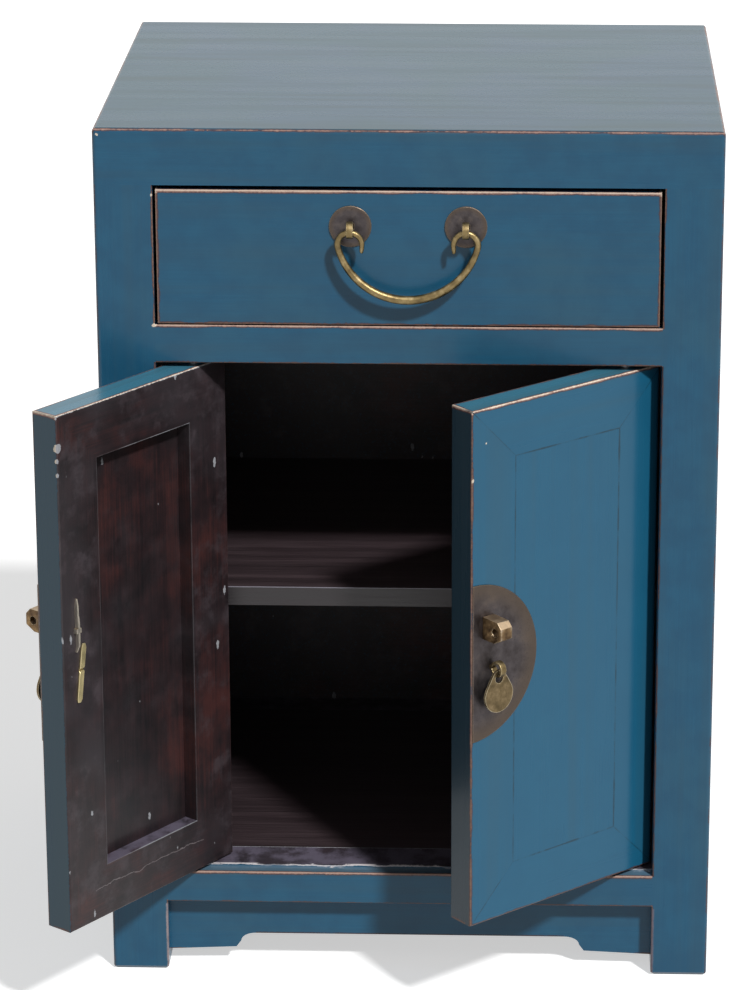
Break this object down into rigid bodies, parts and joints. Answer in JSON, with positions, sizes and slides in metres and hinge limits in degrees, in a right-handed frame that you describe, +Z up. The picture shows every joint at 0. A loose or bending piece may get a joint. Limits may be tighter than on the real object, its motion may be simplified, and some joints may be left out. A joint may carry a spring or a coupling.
{
  "type": "lacquer side table",
  "caption": "Blue-lacquer side table: post-and-rail case with a flush top, a drawer with a bail handle and framed pivot doors over a shelf.",
  "frame": {"origin": "on the floor under the middle of the case", "axes": "+X to the right, +Y to the back, +Z up"},
  "size_m": [0.5405, 0.5194, 0.715],
  "materials": {
    "blue_lacquer": "rubbed gloss blue lacquer over wood, worn at the edges",
    "dark_stain": "dark red-brown stain",
    "raw_wood": "bare planed elm",
    "bronze_plate": "dark patinated brass sheet",
    "aged_brass": "aged cast and strap brass",
    "steel_pin": "turned steel"
  },
  "bodies": {
    "carcass": {"left_front_post": "blue_lacquer", "right_front_post": "blue_lacquer", "left_rear_post": "blue_lacquer", "right_rear_post": "blue_lacquer", "top_front_rail": "blue_lacquer", "top_rear_rail": "blue_lacquer", "top_left_rail": "blue_lacquer", "top_right_rail": "blue_lacquer", "top_panel": "blue_lacquer", "top_batten": "raw_wood", "middle_front_rail": "blue_lacquer", "middle_rear_rail": "blue_lacquer", "bottom_front_rail": "blue_lacquer", "bottom_rear_rail": "blue_lacquer", "bottom_left_rail": "blue_lacquer", "bottom_right_rail": "blue_lacquer", "front_apron": "blue_lacquer", "left_apron": "blue_lacquer", "right_apron": "blue_lacquer", "left_side_panel": "blue_lacquer", "right_side_panel": "blue_lacquer", "upper_back_panel": "blue_lacquer", "lower_back_panel": "blue_lacquer", "bottom_board": "dark_stain", "shelf_board": "dark_stain", "left_shelf_cleat": "dark_stain", "right_shelf_cleat": "dark_stain", "left_drawer_runner": "raw_wood", "right_drawer_runner": "raw_wood"},
    "drawer": {"drawer_front": "blue_lacquer", "drawer_left_side": "raw_wood", "drawer_right_side": "raw_wood", "drawer_back": "raw_wood", "drawer_bottom": "raw_wood", "left_bail_plate": "bronze_plate", "right_bail_plate": "bronze_plate", "left_bail_staple": "aged_brass", "right_bail_staple": "aged_brass"},
    "bail": {"drawer_bail": "aged_brass"},
    "left_door": {"left_door_hinge_stile": "blue_lacquer", "left_door_lock_stile": "blue_lacquer", "left_door_top_rail": "blue_lacquer", "left_door_bottom_rail": "blue_lacquer", "left_door_panel": "blue_lacquer", "left_door_pivots": "steel_pin", "left_lock_plate": "bronze_plate", "left_lock_lug": "aged_brass", "left_pendant_staple": "aged_brass"},
    "right_door": {"right_door_hinge_stile": "blue_lacquer", "right_door_lock_stile": "blue_lacquer", "right_door_top_rail": "blue_lacquer", "right_door_bottom_rail": "blue_lacquer", "right_door_panel": "blue_lacquer", "right_door_pivots": "steel_pin", "right_lock_plate": "bronze_plate", "right_lock_lug": "aged_brass", "right_pendant_staple": "aged_brass"},
    "left_pull": {"left_pendant": "aged_brass"},
    "right_pull": {"right_pendant": "aged_brass"}
  },
  "joints": [
    {"name": "drawer_slide", "type": "slide", "parent": "carcass", "child": "drawer", "axis": [0, -1, 0], "range_m": [0, 0.24]},
    {"name": "bail_swing", "type": "hinge", "parent": "drawer", "child": "bail", "pos_m": [0, -0.208, 0.63825], "axis": [-1, 0, 0], "range_deg": [-8, 100]},
    {"name": "left_door_pivot", "type": "hinge", "parent": "carcass", "child": "left_door", "pos_m": [-0.1705, -0.1815, 0.091], "axis": [0, 0, -1], "range_deg": [-126.5, 0]},
    {"name": "right_door_pivot", "type": "hinge", "parent": "carcass", "child": "right_door", "pos_m": [0.1705, -0.1815, 0.091], "axis": [0, 0, 1], "range_deg": [-41, 85.5]},
    {"name": "left_pendant_swing", "type": "hinge", "parent": "left_door", "child": "left_pull", "pos_m": [-0.27848, -0.28758, 0.3105], "axis": [0.5948, 0.8039, 0], "range_deg": [-10, 60]},
    {"name": "right_pendant_swing", "type": "hinge", "parent": "right_door", "child": "right_pull", "pos_m": [0.07322, -0.29747, 0.3105], "axis": [-0.7547, -0.6561, 0], "range_deg": [-10, 60]}
  ]
}
